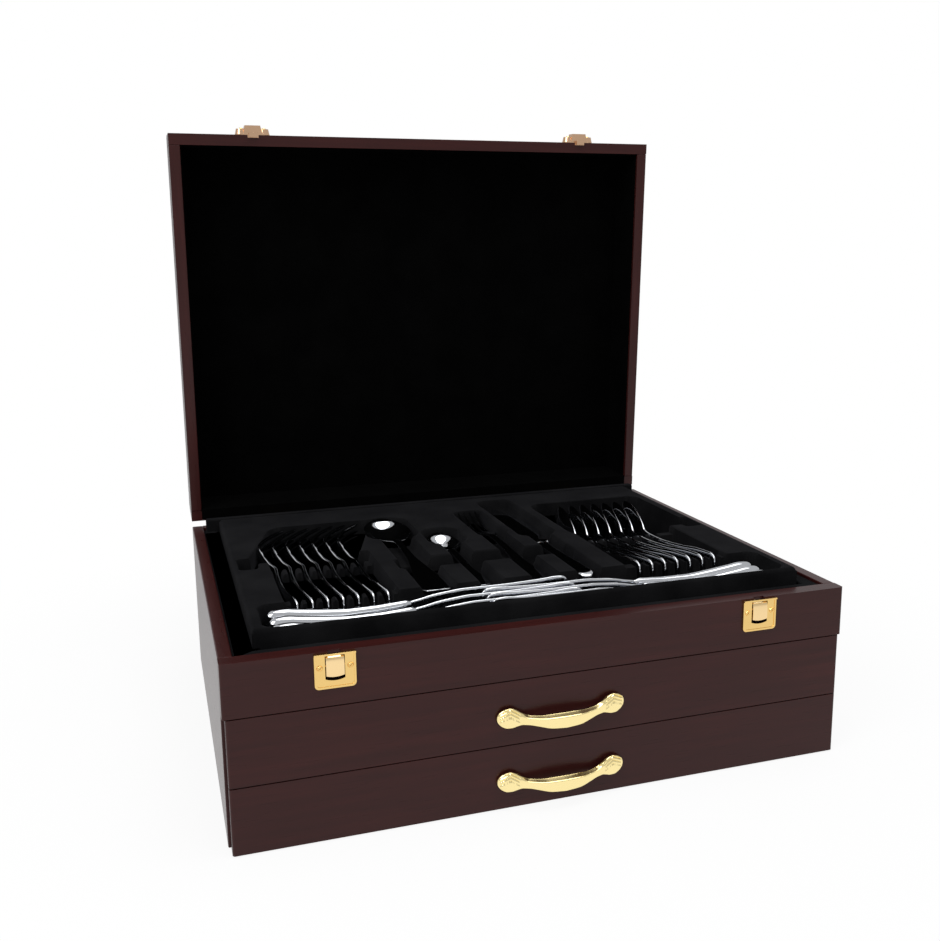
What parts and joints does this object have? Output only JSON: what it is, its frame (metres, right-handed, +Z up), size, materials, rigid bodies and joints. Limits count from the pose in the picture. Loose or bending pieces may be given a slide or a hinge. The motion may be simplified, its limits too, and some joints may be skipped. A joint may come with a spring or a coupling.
{
  "type": "silverware chest",
  "caption": "Lacquered wooden silverware chest with an open hinged lid, a flocked insert holding flatware, drawers with brass bow pulls, and sprung brass catches.",
  "frame": {"origin": "on the table, under the middle of the chest's width and depth", "axes": "+X to the right seen from the front, +Y to the back, +Z up"},
  "size_m": [0.48, 0.4431, 0.5199],
  "materials": {
    "lacquered_wood": "dark red-brown lacquer, satin",
    "plywood": "bare, sanded",
    "felt": "short felt",
    "flock": "black flock",
    "cutlery_steel": "mirror polish",
    "spring_steel": "drawn wire",
    "brass": "polished, lacquered"
  },
  "bodies": {
    "chest": {"side_panel_left": "lacquered_wood", "side_panel_right": "lacquered_wood", "back_panel": "lacquered_wood", "upper_front_board": "lacquered_wood", "compartment_floor": "plywood", "drawer_divider": "plywood", "bottom_panel": "plywood", "base_felt": "felt", "compartment_liner": "flock", "insert_tray": "flock", "table_forks": "cutlery_steel", "table_spoons": "cutlery_steel", "table_knives": "cutlery_steel", "serving_spoon": "cutlery_steel", "sugar_spoon": "cutlery_steel", "serving_fork": "cutlery_steel", "pie_server": "cutlery_steel", "hinge_base_leaf_left": "brass", "hinge_base_leaf_right": "brass", "hinge_pin_left": "brass", "hinge_pin_right": "brass", "hinge_base_screws": "brass", "catch_plate_left": "brass", "catch_plate_right": "brass", "catch_pins": "brass", "catch_springs": "spring_steel", "catch_plate_screws": "brass"},
    "lid": {"lid_front_rail": "lacquered_wood", "lid_back_rail": "lacquered_wood", "lid_left_rail": "lacquered_wood", "lid_right_rail": "lacquered_wood", "lid_top_panel": "lacquered_wood", "lid_lining": "flock", "hinge_lid_leaf_left": "brass", "hinge_lid_leaf_right": "brass", "hinge_lid_screws": "brass", "strike_plate_left": "brass", "strike_plate_right": "brass", "strike_screws": "brass"},
    "upper_drawer": {"upper_drawer_front": "lacquered_wood", "upper_drawer_left_side": "plywood", "upper_drawer_right_side": "plywood", "upper_drawer_back": "plywood", "upper_drawer_bottom": "plywood", "upper_drawer_insert": "flock", "upper_handle": "brass", "upper_handle_screws": "brass"},
    "lower_drawer": {"lower_drawer_front": "lacquered_wood", "lower_drawer_left_side": "plywood", "lower_drawer_right_side": "plywood", "lower_drawer_back": "plywood", "lower_drawer_bottom": "plywood", "lower_drawer_insert": "flock", "lower_handle": "brass", "lower_handle_screws": "brass"},
    "catch_lever_left": {"catch_lever_left": "brass"},
    "catch_lever_right": {"catch_lever_right": "brass"}
  },
  "joints": [
    {"name": "lid_hinge", "type": "hinge", "parent": "chest", "child": "lid", "pos_m": [0, 0.188, 0.1392], "axis": [1, 0, 0], "range_deg": [0, 87]},
    {"name": "upper_drawer_slide", "type": "slide", "parent": "chest", "child": "upper_drawer", "axis": [0, -1, 0], "range_m": [0, 0.24]},
    {"name": "lower_drawer_slide", "type": "slide", "parent": "chest", "child": "lower_drawer", "axis": [0, -1, 0], "range_m": [0, 0.24]},
    {"name": "left_catch_lever", "type": "hinge", "parent": "chest", "child": "catch_lever_left", "pos_m": [-0.164, -0.181, 0.128], "axis": [-1, 0, 0], "range_deg": [0, 18], "stiffness_Nm_per_rad": 0.02, "springref_deg": -17.19},
    {"name": "right_catch_lever", "type": "hinge", "parent": "chest", "child": "catch_lever_right", "pos_m": [0.164, -0.181, 0.128], "axis": [-1, 0, 0], "range_deg": [0, 18], "stiffness_Nm_per_rad": 0.02, "springref_deg": -17.19}
  ]
}
